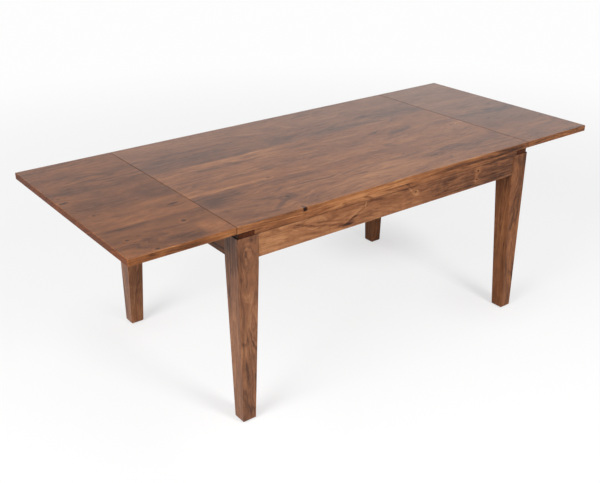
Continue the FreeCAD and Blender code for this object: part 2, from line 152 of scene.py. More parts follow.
world = bpy.data.worlds.new("studio")
world.use_nodes = True
bpy.context.scene.world = world
sky = world.node_tree
path = put(sky, "LightPath").outputs
upward = put(sky, "TexCoord").outputs["Generated"]
upward = put(sky, "SeparateXYZ", {0: upward}).outputs[2]
sheen = tint(sky, "MIX", fade(sky, upward, SHEEN_FROM, SHEEN_TO), SHEEN_LOW, SHEEN_HIGH)
sky_colour = tint(sky, "MIX", path["Is Glossy Ray"], SKY_LIGHT, sheen)
clear = reckon(sky, "MAXIMUM", path["Is Camera Ray"], path["Is Transmission Ray"])
sky_colour = tint(sky, "MIX", clear, sky_colour, SKY_WHITE)
sky.links.new(sky_colour, sky.nodes["Background"].inputs["Color"])

FLOOR_REACH = 40.0
FLOOR_COLOUR = (0.9, 0.9, 0.9, 1.0)
FLOOR_NEAR = (0.955, 0.955, 0.955, 1.0)
FLOOR_FAR = (0.985, 0.985, 0.985, 1.0)
FLOOR_FADES = 1.8, 5.0
FLOOR_CLEARED = 0.82
FOOT_CLEARED = 0.62
FOOT_FADES = 0.04, 0.40

floor_mesh = bpy.data.meshes.new("floor")
corners = [(x * FLOOR_REACH, y * FLOOR_REACH, 0.0) for x, y in ((-1, -1), (1, -1), (1, 1), (-1, 1))]
floor_mesh.from_pydata(corners, [], [(0, 1, 2, 3)])
floor = add_object("floor", floor_mesh)

floor_paint = bpy.data.materials.new("floor_paint")
floor_paint.use_nodes = True
paint = floor_paint.node_tree
paint.nodes.clear()
path = put(paint, "LightPath").outputs
open_view = reckon(paint, "MAXIMUM", path["Is Camera Ray"], path["Is Glossy Ray"])
open_view = reckon(paint, "MAXIMUM", open_view, path["Is Transmission Ray"])
outward = reckon_vector(paint, "LENGTH", put(paint, "TexCoord").outputs["Object"])
outward = fade(paint, outward, *FLOOR_FADES)
foot = sum(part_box("back_right_glide"), Vector()) / 2
from_foot = reckon_vector(paint, "ABSOLUTE", put(paint, "TexCoord").outputs["Object"])
from_foot = reckon_vector(paint, "SUBTRACT", from_foot, (foot.x, foot.y, 0.0))
from_foot = fade(paint, reckon_vector(paint, "LENGTH", from_foot), *FOOT_FADES)
cleared = between(paint, from_foot, FOOT_CLEARED, FLOOR_CLEARED)
cleared = weigh(paint, cleared, (outward, 1.0 - FLOOR_CLEARED))
share = times(paint, open_view, cleared)
white = tint(paint, "MIX", outward, FLOOR_NEAR, FLOOR_FAR)
plain = put(paint, "BsdfDiffuse", {"Color": FLOOR_COLOUR}).outputs[0]
glow = put(paint, "Emission", {"Color": white, "Strength": 1.0}).outputs[0]
both = put(paint, "MixShader", {0: share, 1: plain, 2: glow}).outputs[0]
put(paint, "OutputMaterial", {"Surface": both})
floor_mesh.materials.append(floor_paint)

# Name, place, side of the square lamp, power in watts.
LAMPS = (
    ("end_lamp", (-4.6, -1.1, 3.1), 2.4, 250.0),
    ("side_lamp", (0.2, -3.3, 2.6), 0.9, 106.0),
    ("top_lamp", (-0.4, 0.6, 4.8), 3.0, 32.0),
)
LAMP_AIM = (0.0, 0.0, 0.45)

aim = add_object("lamp_aim", None)
aim.location = LAMP_AIM
for name, place, side, power in LAMPS:
    lamp = add_object(name, bpy.data.lights.new(name, "AREA"))
    lamp.data.size = side
    lamp.data.energy = power
    lamp.location = place
    towards = lamp.constraints.new("TRACK_TO")
    towards.target = aim
    towards.track_axis = "TRACK_NEGATIVE_Z"
    towards.up_axis = "UP_Y"


# ------------------------
# Main top: seven walnut boards glued edge to edge into one fixed panel, grain along the table,
# planed and sanded, with a thin satin lacquer above. It is held by screws from below. The boards
# differ in tone and keep their knots.


def combine(tree, *parts):
    return put(tree, "CombineXYZ", dict(enumerate(parts))).outputs[0]


def split(tree, vector):
    return put(tree, "SeparateXYZ", {0: vector}).outputs


def noise(tree, place, stretch, detail=2.0, output="Fac"):
    """Cloudy noise whose lumps are about 1 / stretch metres long each way."""
    place = reckon_vector(tree, "MULTIPLY", place, stretch)
    made = put(tree, "TexNoise", {"Vector": place, "Scale": 1.0, "Detail": detail})
    return made.outputs[output]


def uneven(tree, place, stretch, detail=2.0):
    """Cloudy noise about zero."""
    return reckon(tree, "SUBTRACT", noise(tree, place, stretch, detail), 0.5)


def colour_steps(tree, value, stops, kind="LINEAR"):
    made = put(tree, "ValToRGB", {0: value})
    ramp = made.color_ramp
    ramp.interpolation = kind
    while len(ramp.elements) > 1:
        ramp.elements.remove(ramp.elements[-1])
    ramp.elements[0].position = stops[0][0]
    ramp.elements[0].color = (*stops[0][1], 1.0)
    for position, colour in stops[1:]:
        ramp.elements.new(position).color = (*colour, 1.0)
    return made.outputs[0]


# Kinds of the groups' sockets. All others are numbers.
SOCKET_KINDS = dict.fromkeys(("Position", "Place", "Size", "Gaps", "Heart"), "Vector")
SOCKET_KINDS["Color"] = "Color"


def node_group(name, takes, gives):
    """An empty group with named sockets: the tree, what comes in, and what goes out."""
    tree = bpy.data.node_groups.new(name, "ShaderNodeTree")
    for labels, way in ((takes, "INPUT"), (gives, "OUTPUT")):
        for label in labels.split():
            kind = "NodeSocket" + SOCKET_KINDS.get(label, "Float")
            tree.interface.new_socket(label, in_out=way, socket_type=kind)
    return tree, tree.nodes.new("NodeGroupInput").outputs, tree.nodes.new("NodeGroupOutput").inputs


def use(tree, name, **plugs):
    """Places a group. A plug's name is the socket's, in small letters."""
    group = bpy.data.node_groups[name]
    plugs = {label.title(): value for label, value in plugs.items()}
    return put(tree, "Group", plugs, node_tree=group).outputs


# A knot is the foot of a branch: a dark ragged heart with a pale rim below it, and grain that
# parts to flow round it.
KNOT_REACH = 2.8
KNOT_BEND = 0.85
KNOT_RAGGED = 0.9
KNOT_EDGES = 1.25, 0.55
RIM_EDGES = 2.4, 1.0

tree, given, wanted = node_group("knot", "Position Place Size", "Position Core Rim")
gap = reckon_vector(tree, "SUBTRACT", given["Position"], given["Place"])
away = reckon_vector(tree, "LENGTH", reckon_vector(tree, "DIVIDE", gap, given["Size"]))
near = reckon(tree, "POWER", reckon(tree, "DIVIDE", away, KNOT_REACH), 2.0)
pull = reckon(tree, "EXPONENT", times(tree, near, -1.0))
aside = times(tree, times(tree, split(tree, gap)[1], pull), -KNOT_BEND)
tree.links.new(reckon_vector(tree, "ADD", given["Position"], combine(tree, 0.0, aside, 0.0)),
               wanted["Position"])
away = weigh(tree, away, (uneven(tree, given["Position"], (110.0, 190.0, 190.0), 3.0), KNOT_RAGGED))
core = fade(tree, away, *KNOT_EDGES)
tree.links.new(core, wanted["Core"])
tree.links.new(reckon(tree, "SUBTRACT", fade(tree, away, *RIM_EDGES), core), wanted["Rim"])

# A mark is a darker or lighter stretch of the board, soft and broken up into fine streaks.
MARK_RAGGED = 1.1
MARK_FALL = -0.9
MARK_EDGES = 0.20, 1.0

tree, given, wanted = node_group("mark", "Position Streaks Place Size Turn", "Share")
gap = reckon_vector(tree, "SUBTRACT", given["Position"], given["Place"])
gap = put(tree, "VectorRotate", {"Vector": gap, "Angle": given["Turn"]},
          rotation_type="Z_AXIS").outputs[0]
gap = reckon_vector(tree, "DIVIDE", gap, given["Size"])
near = times(tree, reckon_vector(tree, "DOT_PRODUCT", gap, gap), MARK_FALL)
near = reckon(tree, "EXPONENT", near)
near = weigh(tree, near, (times(tree, given["Streaks"], near), MARK_RAGGED))
tree.links.new(fade(tree, near, *MARK_EDGES), wanted["Share"])

# A swell is where the growth rings rise towards the face, so that the cut shows nested ovals.
SWELL_FALL = -0.8
SWELL_RAGGED = 1.1

tree, given, wanted = node_group("swell", "Position Place Size Rise", "Rise")
gap = reckon_vector(tree, "SUBTRACT", given["Position"], given["Place"])
gap = reckon_vector(tree, "DIVIDE", gap, given["Size"])
near = times(tree, reckon_vector(tree, "DOT_PRODUCT", gap, gap), SWELL_FALL)
near = weigh(tree, near, (uneven(tree, given["Position"], (16.0, 60.0, 60.0)), SWELL_RAGGED))
tree.links.new(times(tree, reckon(tree, "EXPONENT", near), given["Rise"]), wanted["Rise"])

# Arrises: the wood is a little paler within 3 millimetres of a piece's edges, partly from wear and
# partly a painted highlight where the eased edges catch the light. Gaps is the distance to the
# nearest face along each axis. Its middle value is about that to the edge.
WEAR_AND_HIGHLIGHT_REACH = 0.0028, 0.0006
WEAR_AND_HIGHLIGHT_UNEVEN = 0.35, 0.60

tree, given, wanted = node_group("arris_wear_and_highlight", "Position Gaps", "WearAndHighlight")
along, across, into = split(tree, given["Gaps"])
smaller = reckon(tree, "MINIMUM", along, across)
larger = reckon(tree, "MAXIMUM", along, across)
middle = reckon(tree, "MAXIMUM", smaller, reckon(tree, "MINIMUM", larger, into))
patchy = fade(tree, noise(tree, given["Position"], (14.0, 14.0, 14.0), 3.0), *WEAR_AND_HIGHLIGHT_UNEVEN)
tree.links.new(times(tree, fade(tree, middle, *WEAR_AND_HIGHLIGHT_REACH), patchy), wanted["WearAndHighlight"])

# Solid walnut in board coordinates: X along the grain, Y across the face, Z into the board. The
# growth rings lie round a heart line that wanders, so a face cut near the heart shows pointed
# arches and a board's end shows arcs.
WALNUT = (
    (0.0, (0.030, 0.013, 0.008)),
    (0.25, (0.095, 0.038, 0.019)),
    (0.5, (0.205, 0.084, 0.038)),
    (0.75, (0.335, 0.160, 0.075)),
    (1.0, (0.450, 0.250, 0.135)),
)
RING = 0.0052
SLANT = 0.30
SMOKE = (0.88, 0.83, 0.80, 1.0)
PORE = (0.50, 0.46, 0.44, 1.0)

tree, given, wanted = node_group("solid_walnut", "Position Heart Swell Tone Figure Curl",
                                 "Color Roughness Height")
place = given["Position"]
along, across, into = split(tree, place)
wander = noise(tree, place, (1.3, 0.5, 0.5), 1.5, "Color")
wander = reckon_vector(tree, "SUBTRACT", wander, (0.5, 0.5, 0.5))
wander = reckon_vector(tree, "MULTIPLY", wander, (0.0, 0.10, 0.09))
radial = reckon_vector(tree, "SUBTRACT", combine(tree, 0.0, across, into), given["Heart"])
radius = reckon_vector(tree, "LENGTH", reckon_vector(tree, "ADD", radial, wander))
radius = weigh(
    tree,
    reckon(tree, "ADD", radius, given["Swell"]),
    (across, SLANT),
    (uneven(tree, place, (3.4, 9.0, 9.0)), 0.026),
    (uneven(tree, place, (13.0, 34.0, 34.0)), 0.007),
)
flow = combine(tree, along, radius, times(tree, across, 0.3))
broad = uneven(tree, flow, (1.5, 17.0, 3.0))
middle = uneven(tree, flow, (3.0, 62.0, 6.0), 3.0)
narrow = uneven(tree, flow, (7.0, 230.0, 12.0), 3.0)
strength = fade(tree, noise(tree, place, (2.6, 9.0, 9.0), 1.0), 0.25, 0.75)
narrow = times(tree, narrow, between(tree, strength, 0.35, 1.5))
cloud = uneven(tree, place, (4.2, 13.0, 13.0), 3.0)
fibre = uneven(tree, place, (26.0, 900.0, 900.0))
curl = times(tree, uneven(tree, place, (46.0, 15.0, 15.0)), given["Curl"])
lines = reckon(tree, "DIVIDE", radius, RING)
lines = weigh(tree, lines, (uneven(tree, flow, (3.0, 30.0, 3.0), 1.0), 1.8))
lines = reckon(tree, "POWER", reckon(tree, "FRACT", lines), 4.0)
lines = times(tree, lines, fade(tree, middle, -0.10, 0.14))
vein = uneven(tree, flow, (2.4, 34.0, 5.0), 3.0)
vein = fade(tree, reckon(tree, "ABSOLUTE", vein), 0.024, 0.004)
vein = times(tree, vein, strength)
mottle = uneven(tree, place, (24.0, 62.0, 62.0), 3.0)
fine = uneven(tree, flow, (26.0, 480.0, 30.0))
bands = weigh(tree, 0.0, (broad, 0.30), (middle, 0.34), (narrow, 0.54), (lines, -0.14), (vein, -0.18))
tone = weigh(
    tree,
    reckon(tree, "ADD", given["Tone"], 0.5),
    (times(tree, bands, given["Figure"]), 1.0),
    (cloud, 0.16),
    (mottle, 0.22),
    (fine, 0.30),
    (fibre, 0.22),
    (curl, 0.5),
)
colour = colour_steps(tree, tone, WALNUT)
smoke = fade(tree, noise(tree, flow, (2.6, 22.0, 6.0), 3.0), 0.50, 0.68)
colour = tint(tree, "MULTIPLY", smoke, colour, SMOKE)
pore = fade(tree, noise(tree, place, (90.0, 1600.0, 1600.0), 1.0), 0.60, 0.70)
colour = tint(tree, "MULTIPLY", pore, colour, PORE)
tree.links.new(colour, wanted["Color"])
tree.links.new(weigh(tree, 0.30, (fibre, 0.16), (pore, 0.2), (cloud, 0.08)), wanted["Roughness"])
tree.links.new(weigh(tree, 0.0, (fibre, 0.5), (pore, -1.0)), wanted["Height"])

SHIFT_RANGE = (0.0, 60.0)
TONE_RANGE = (-0.5, 0.5)
HEART_DEPTH = (0.02, 0.30)
HEART_ASIDE = 0.10
COOL = (0.93, 1.0, 1.12, 1.0)
WARM = (1.08, 0.975, 0.77, 1.0)
END_GRAIN = (0.62, 0.47, 0.38, 1.0)
STREAK_STRETCH = (11.0, 150.0, 150.0)
KNOT_DARK = (0.24, 0.19, 0.18, 1.0)
KNOT_PALE = 0.10
# How much paler the arrises are, partly by wear and partly by painted highlight.
WEAR_AND_HIGHLIGHT_TONE = 0.17
# A seam's dark line is painted shade, as if shade fell into the joint.
SEAM_SHADE = (0.16, 0.12, 0.12, 1.0)
SEAM_EDGES = 1.0, 0.25
SEAM_INSIDE = 0.55
SEAM_OPEN = 0.9, 0.5
FIGURE_RANGE = (0.75, 1.25)
END_EDGES = 0.6, 0.95
END_ROUGHER = 0.15
GRAIN_BUMP = 0.0003
PLAIN_GLOSS = 0.08
TOP_POLISH = 0.55
POLISH_ROUGH = 0.36
POLISH_EDGES = 0.3, 0.9


def new_material(name):
    """A new material with its tree, its shader, and where a point of the surface lies."""
    made = bpy.data.materials.new(name)
    made.use_nodes = True
    tree = made.node_tree
    return made, tree, tree.nodes["Principled BSDF"], put(tree, "TexCoord").outputs


def dress(tree, shader, colour, roughness, height, bump, strength=0.5):
    """Gives a shader its colour and roughness, and bumps about as high as bump."""
    tree.links.new(colour, shader.inputs["Base Color"])
    tree.links.new(roughness, shader.inputs["Roughness"])
    bumps = put(tree, "Bump", {"Strength": strength, "Distance": bump, "Height": height})
    tree.links.new(bumps.outputs[0], shader.inputs["Normal"])


def nearest_faces(name):
    """How far a point is from a piece's nearest face along each axis, as a function that adds
    the nodes for it."""
    def add(tree, place):
        gaps = [reckon_vector(tree, "SUBTRACT", place, tuple(corner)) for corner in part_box(name)]
        gaps = [reckon_vector(tree, "ABSOLUTE", gap) for gap in gaps]
        return reckon_vector(tree, "MINIMUM", *gaps)
    return add


def walnut(name, turn, boards, knots=(), marks=(), swells=(), seams=(), faces=None, wear=WEAR_AND_HIGHLIGHT_TONE,
           figure=1.0, curl=0.15, gloss=PLAIN_GLOSS, polish=0.0, seed=1):
    """A walnut finish. turn names the table's axes that run along the grain, across the face
    and into the board. boards are (lower edge across, tone, warmth). knots are (place, size),
    marks are (place, size, tone) with a turn in degrees if there is one, and swells are
    (place, size, rise), in board coordinates. seams are lines of painted shade where another
    piece meets this one, on the faces that run up to it: (axis, place, half width). faces adds
    the nodes for the distances to the nearest faces, for the paler arrises, which are partly
    wear and partly a painted highlight. polish is how much lacquer lies on the face that looks up."""
    draw = random.Random(seed)
    made, tree, shader, sources = new_material(name)
    axes = dict(zip("xyz", split(tree, sources["Object"])))
    place = combine(tree, *(axes[letter] for letter in turn))
    core = 0.0
    rim = 0.0
    for spot, size in knots:
        knot = use(tree, "knot", position=place, place=spot, size=size)
        place = knot["Position"]
        core = reckon(tree, "MAXIMUM", core, knot["Core"])
        rim = reckon(tree, "MAXIMUM", rim, knot["Rim"])
    marked = 0.0
    if marks:
        streaks = times(tree, uneven(tree, place, STREAK_STRETCH, 4.0), 2.0)
    for spot, size, change, *angles in marks:
        share = use(tree, "mark", position=place, streaks=streaks, place=spot, size=size,
                    turn=math.radians(-sum(angles)))["Share"]
        marked = weigh(tree, marked, (share, change))
    swollen = 0.0
    for spot, size, rise in swells:
        lift = use(tree, "swell", position=place, place=spot, size=size, rise=rise)["Rise"]
        swollen = reckon(tree, "ADD", swollen, lift)
    which = 0.0
    for edge, _, _ in boards[1:]:
        beyond = reckon(tree, "GREATER_THAN", axes[turn[1]], edge)
        which = reckon(tree, "ADD", which, beyond)
    which = reckon(tree, "DIVIDE", reckon(tree, "ADD", which, 0.5), len(boards))
    span = boards[-1][0] - boards[0][0] or 1.0
    looks = []
    hearts = []
    for number, (edge, tone, warmth) in enumerate(boards):
        start = number / len(boards)
        share = (tone - TONE_RANGE[0]) / (TONE_RANGE[1] - TONE_RANGE[0])
        looks.append((start, (share, warmth, draw.random())))
        hearts.append((start, ((edge - boards[0][0]) / span, draw.random(), draw.random())))
    looks, hearts = (
        put(tree, "SeparateColor", {0: colour_steps(tree, which, steps, "CONSTANT")}).outputs
        for steps in (looks, hearts)
    )
    heart_across = between(tree, hearts[0], boards[0][0], boards[0][0] + span)
    heart_across = weigh(tree, heart_across, (between(tree, looks[2], -1.0, 1.0), HEART_ASIDE))
    heart_into = between(tree, hearts[1], *HEART_DEPTH)
    tone = reckon(tree, "ADD", between(tree, looks[0], *TONE_RANGE), marked)
    tone = weigh(tree, tone, (rim, KNOT_PALE))
    # Paler arrises: partly wear, partly a painted highlight along the eased edges.
    if faces:
        gaps = faces(tree, sources["Object"])
        wear_and_highlight_share = use(tree, "arris_wear_and_highlight", position=sources["Object"], gaps=gaps)["WearAndHighlight"]
        tone = weigh(tree, tone, (wear_and_highlight_share, wear))
    shift = combine(tree, between(tree, looks[2], *SHIFT_RANGE), 0.0, 0.0)
    wood = use(
        tree,
        "solid_walnut",
        position=reckon_vector(tree, "ADD", place, shift),
        heart=combine(tree, 0.0, heart_across, heart_into),
        swell=swollen,
        tone=tone,
        figure=times(tree, between(tree, hearts[2], *FIGURE_RANGE), figure),
        curl=curl,
    )
    warmth = tint(tree, "MIX", looks[1], COOL, WARM)
    colour = tint(tree, "MULTIPLY", 1.0, wood["Color"], warmth)
    if knots:
        colour = tint(tree, "MULTIPLY", core, colour, KNOT_DARK)
    facing = split(tree, reckon_vector(tree, "ABSOLUTE", sources["Normal"]))
    # Painted shade: a dark line along each seam where another piece meets this one.
    for letter, spot, reach in seams:
        apart = reckon(tree, "DIVIDE", reckon(tree, "SUBTRACT", axes[letter], spot), reach)
        line = fade(tree, reckon(tree, "ABSOLUTE", apart), *SEAM_EDGES)
        open_side = fade(tree, facing["xyz".index(letter)], *SEAM_OPEN)
        line = times(tree, line, between(tree, open_side, SEAM_INSIDE, 1.0))
        colour = tint(tree, "MULTIPLY", line, colour, SEAM_SHADE)
    end = fade(tree, facing["xyz".index(turn[0])], *END_EDGES)
    colour = tint(tree, "MULTIPLY", end, colour, END_GRAIN)
    roughness = weigh(tree, wood["Roughness"], (end, END_ROUGHER))
    dress(tree, shader, colour, roughness, wood["Height"], GRAIN_BUMP)
    shader.inputs["Specular IOR Level"].default_value = gloss
    if polish:
        upward = fade(tree, split(tree, sources["Normal"])[2], *POLISH_EDGES)
        tree.links.new(times(tree, upward, polish), shader.inputs["Coat Weight"])
        shader.inputs["Coat Roughness"].default_value = POLISH_ROUGH
    return made


def finish(material, *names):
    """Gives CAD pieces their finish."""
    for name in names:
        nodes[name].data.materials.clear()
        nodes[name].data.materials.append(material)


low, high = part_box("main_top")
front = low.y
end = high.x
top = high.z
# How far marks, knots and swells reach into the wood, and half the width of a seam's line of painted
# shade.
DEEP = 0.03
SEAM = 0.0018
# How high the marks on the front edge lie and how far they reach up and down, and so for its knot.
EDGE_HEIGHT = 0.745
EDGE_DEEP = 0.012
EDGE_KNOT_HEIGHT = 0.757
EDGE_KNOT_DEEP = 0.008
# Places and sizes in the tables of knots, marks and swells are in millimetres.
MM = 1000
FRONT = front * MM


def on_face(level, *rows, deep=DEEP):
    """Knots, marks or swells on a face: (along, across, half length, half width), then a mark's
    tone and turn or a swell's rise. level is the face's place along the axis into the board."""
    return tuple(((x / MM, y / MM, level), (length / MM, width / MM, deep), *rest)
                 for x, y, length, width, *rest in rows)


MAIN_BOARDS = (
    (front, 0.01, 0.85),
    (front + 0.194, -0.03, 1.0),
    (front + 0.294, 0.04, 1.0),
    (front + 0.374, -0.01, 0.95),
    (front + 0.489, 0.03, 1.0),
    (front + 0.579, -0.06, 0.6),
    (front + 0.745, -0.01, 0.6),
)
MAIN_KNOTS = on_face(EDGE_KNOT_HEIGHT, (-438, FRONT, 9, 20), deep=EDGE_KNOT_DEEP) + on_face(
    top,
    (-426, -343, 10, 9),
    (-373, -150, 13, 5),
    (639, -98, 16, 5),
    (299, -338, 12, 6),
    (289, 12, 10, 5),
    (404, 222, 16, 6),
    (459, -171, 9, 4),
    (80, 240, 12, 5),
)
MAIN_MARKS = on_face(
    top,
    (-35, 325, 60, 40, -0.14),
    (89, 320, 55, 32, -0.1, 10),
    (-91, 180, 85, 55, -0.14, 4),
    (239, 402, 90, 30, -0.12),
    (404, 222, 60, 14, -0.16),
    (260, 155, 140, 13, -0.16, -4),
    (394, -22, 75, 22, -0.18, 5),
    (-426, -350, 40, 30, -0.14, 40),
    (-480, -385, 70, 14, -0.22, 35),
    (-300, -205, 180, 38, -0.16),
    (-350, -403, 100, 50, -0.14),
    (-671, -228, 80, 60, -0.22),
    (-600, -300, 190, 130, -0.13),
    (-438, FRONT, 12, 10, -0.4),
    (-500, 190, 260, 70, -0.12),
    (-301, 138, 40, 10, -0.14),
    (-380, 235, 100, 8, -0.16),
    (-621, 222, 30, 18, -0.18),
    (-480, 52, 200, 14, -0.12),
    (-380, 50, 40, 16, -0.16),
    (-70, 75, 130, 22, -0.12),
    (299, -338, 50, 18, -0.18),
    (330, -390, 20, 7, -0.2, 50),
    (234, -143, 34, 20, -0.18, -30),
    (200, -283, 120, 9, -0.16),
    (289, 17, 40, 12, -0.16, 20),
    (560, -330, 220, 90, -0.13),
    (700, -290, 30, 40, -0.14),
    (249, -53, 75, 34, 0.14),
    (339, -143, 110, 18, 0.14),
    (540, -255, 260, 9, 0.18),
    (-591, -150, 160, 12, 0.16),
    (-360, -172, 34, 9, 0.14),
    (139, 47, 130, 11, 0.14, -4),
    (-300, 108, 400, 14, 0.12),
    (10, -345, 220, 80, 0.11),
    (55, 290, 60, 12, 0.12, -50),
    (-100, FRONT, 200, 20, 0.1),
    (640, FRONT, 160, 20, -0.12),
    (-600, FRONT, 140, 14, -0.1),
    (-560, 60, 260, 300, -0.06),
) + on_face(
    EDGE_HEIGHT,
    (-220, FRONT, 110, 6, 0.18),
    (-400, FRONT, 50, 6, -0.14),
    (160, FRONT, 100, 6, -0.05),
    (420, FRONT, 240, 6, -0.29),
    (600, FRONT, 110, 6, -0.12),
    (-600, FRONT, 110, 6, -0.05),
    (0, FRONT, 60, 6, 0.08),
    (-350, FRONT, 450, 6, 0.06),
    deep=EDGE_DEEP,
)
MAIN_SWELLS = on_face(
    top,
    (-440, -370, 110, 50, 0.03),
    (-95, 185, 110, 50, 0.022),
    (390, -25, 90, 30, 0.018),
    (120, -350, 140, 40, 0.016),
    (-30, 325, 80, 30, 0.02),
)
MAIN_SEAMS = (("x", -end, SEAM), ("x", end, SEAM))
finish(walnut("main_top_walnut", "xyz", MAIN_BOARDS, MAIN_KNOTS, MAIN_MARKS, MAIN_SWELLS,
              MAIN_SEAMS, nearest_faces("main_top"), polish=TOP_POLISH, seed=11), "main_top")


# ------------------------
# Edge strips: walnut strips glued under the main top's long edges, which make the edge look
# thick. The front one has a fine line of painted shade where it meets the apron.


def single_board(piece, turn, tone, warmth, timber="walnut", **looks):
    """Finishes a piece that is cut from one board."""
    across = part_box(piece)[0]["xyz".index(turn[1])]
    finish(walnut(f"{piece}_{timber}", turn, ((across, tone, warmth),), **looks), piece)


low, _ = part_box("front_edge_strip")
STRIP_SEAM = 0.0024
STRIP_MARKS = on_face(
    front,
    (-160, 731, 45, 6, -0.26, -25),
    (-25, 734, 80, 3, -0.24),
    (40, 728, 30, 5, -0.16, -40),
    (-150, 728, 220, 20, 0.08),
    (640, 728, 180, 20, -0.28),
    (300, 728, 260, 20, -0.12),
    (-600, 728, 150, 20, -0.14),
    (-350, 723, 120, 4, -0.14),
    (-635, 728, 25, 30, -0.16),
)
single_board("front_edge_strip", "xzy", tone=0.05, warmth=0.7, marks=STRIP_MARKS,
             seams=(("z", low.z, STRIP_SEAM),), seed=51)
single_board("back_edge_strip", "xzy", tone=0.06, warmth=0.8, seed=52)


# ------------------------
# Aprons: four walnut rails between the legs, glued at their ends to the corner blocks that the
# legs are bolted to.

SIDES = "left", "right"

low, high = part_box("front_apron")
APRON_KNOT_DEEP = 0.02
APRON_KNOTS = on_face(front, (419, 701, 6, 5), (414, 666, 7, 4), (81, 693, 6, 4),
                      deep=APRON_KNOT_DEEP)
APRON_MARKS = on_face(
    front,
    (-206, 677, 70, 3, -0.4, 26),
    (-166, 703, 16, 4, 0.24, 75),
    (-222, 680, 60, 3, 0.16, 28),
    (-235, 655, 40, 10, -0.18, 20),
    (-430, 692, 50, 6, -0.22, -18),
    (-330, 683, 110, 5, -0.2, -10),
    (-300, 662, 120, 6, -0.2, -12),
    (-420, 660, 60, 6, -0.16, -8),
    (-575, 680, 70, 50, 0.14),
    (52, 709, 30, 5, 0.2, -50),
    (88, 686, 16, 10, 0.22),
    (412, 674, 10, 24, 0.2),
    (419, 700, 26, 18, 0.22),
    (440, 712, 60, 6, 0.16, -6),
    (545, 706, 14, 12, 0.12),
    (360, 652, 50, 5, -0.12, -8),
    (480, 668, 60, 4, -0.18),
    (220, 645, 160, 8, 0.04),
    (480, 676, 340, 80, -0.28),
    (60, 676, 280, 80, -0.12),
    (40, 655, 130, 20, 0.08),
    (-120, 652, 50, 10, 0.04),
    (-310, 676, 40, 12, 0.12),
    (-530, 702, 120, 12, -0.18),
    (600, 676, 110, 70, -0.14),
    (-50, 712, 200, 6, -0.06),
    (-100, 709, 60, 6, -0.16, -6),
    (10, 715, 80, 4, -0.14),
    (-200, 703, 50, 7, -0.14),
    (250, 702, 90, 12, -0.08),
    (-450, 650, 80, 10, 0.1),
    (-250, 649, 50, 8, -0.14),
    (500, 648, 50, 10, -0.18),
    (110, 676, 50, 8, 0.1),
    (100, 648, 50, 6, -0.08),
    (-165, 667, 60, 20, -0.15),
)
APRON_SWELLS = on_face(
    front,
    (-400, 686, 100, 22, 0.026),
    (-560, 700, 70, 20, 0.014),
    (250, 670, 120, 20, 0.014),
)
APRON_SEAMS = (("z", high.z, SEAM), ("x", low.x, SEAM), ("x", high.x, SEAM))
single_board("front_apron", "xzy", tone=0.105, warmth=0.5, knots=APRON_KNOTS, marks=APRON_MARKS,
             swells=APRON_SWELLS, seams=APRON_SEAMS, faces=nearest_faces("front_apron"), curl=0.3,
             seed=71)
single_board("back_apron", "xzy", tone=0.06, warmth=0.8, seams=APRON_SEAMS,
             faces=nearest_faces("back_apron"), curl=0.25, seed=72)
for number, side in enumerate(SIDES):
    apron = side + "_end_apron"
    low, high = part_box(apron)
    single_board(apron, "yzx", tone=-0.20, warmth=0.9, faces=nearest_faces(apron),
                 seams=(("y", low.y, SEAM), ("y", high.y, SEAM)), seed=81 + number)


# ------------------------
# Packing: dark blocks laid in the slot at each end of the frame, with the bearers between
# them. Their outer faces are painted nearly black at both ends and in the middle: painted shade
# for the shadowed open ends of the slot.

SHADE_PATCH_SIZE = (0.05, 0.04, 0.006)
SHADE_PATCH_TONE = -0.30
PACKING_GLOSS = 0.05

for number, side in enumerate(SIDES):
    packers = side + "_end_packers"
    low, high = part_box(packers)
    outer = low.x if side == "left" else high.x
    # Painted shade: near-black patches on the outer faces, where the slot's open ends lie in shadow.
    painted_shade_patches = tuple(((y, low.z, outer), SHADE_PATCH_SIZE, SHADE_PATCH_TONE) for y in (low.y, high.y, 0.0))
    single_board(packers, "yzx", tone=-0.32, warmth=0.8, marks=painted_shade_patches, gloss=PACKING_GLOSS,
                 seams=(("z", high.z, SEAM), ("z", low.z, SEAM)), seed=91 + number)


# ------------------------
# Legs: four posts of solid walnut, square at the top and tapered on their two inner faces, each
# held in its corner by a hanger bolt.

LEG_FOOT = 0.054
TAPER_TOP = 0.594


def tapered_faces(low, high, outer):
    """What nearest_faces gives, for a leg, whose two inner faces lean. outer is where its outer
    faces stand."""
    def add(tree, place):
        x, y, z = split(tree, place)
        rise = {"Value": z, "From Min": low.z, "From Max": TAPER_TOP, "To Min": LEG_FOOT,
                "To Max": high.x - low.x}
        width = put(tree, "MapRange", rise).outputs[0]
        gaps = []
        for value, face in zip((x, y), outer):
            from_outer = reckon(tree, "ABSOLUTE", reckon(tree, "SUBTRACT", value, face))
            from_inner = reckon(tree, "ABSOLUTE", reckon(tree, "SUBTRACT", width, from_outer))
            gaps.append(reckon(tree, "MINIMUM", from_outer, from_inner))
        return combine(tree, *gaps, reckon(tree, "ABSOLUTE", reckon(tree, "SUBTRACT", z, low.z)))
    return add


# How much paler the legs' arrises are, by wear and by painted highlight.
LEG_WEAR_AND_HIGHLIGHT = 0.06
LEG_LOOKS = {
    "front_left": {"tone": -0.01, "warmth": 0.35, "figure": 1.1, "gloss": 0.15},
    "front_right": {"tone": -0.13, "warmth": 0.8, "figure": 0.9},
    "back_left": {"tone": 0.0, "warmth": 0.5, "figure": 0.8, "gloss": 0.16},
    "back_right": {"tone": -0.12, "warmth": 1.0, "figure": 0.8},
}
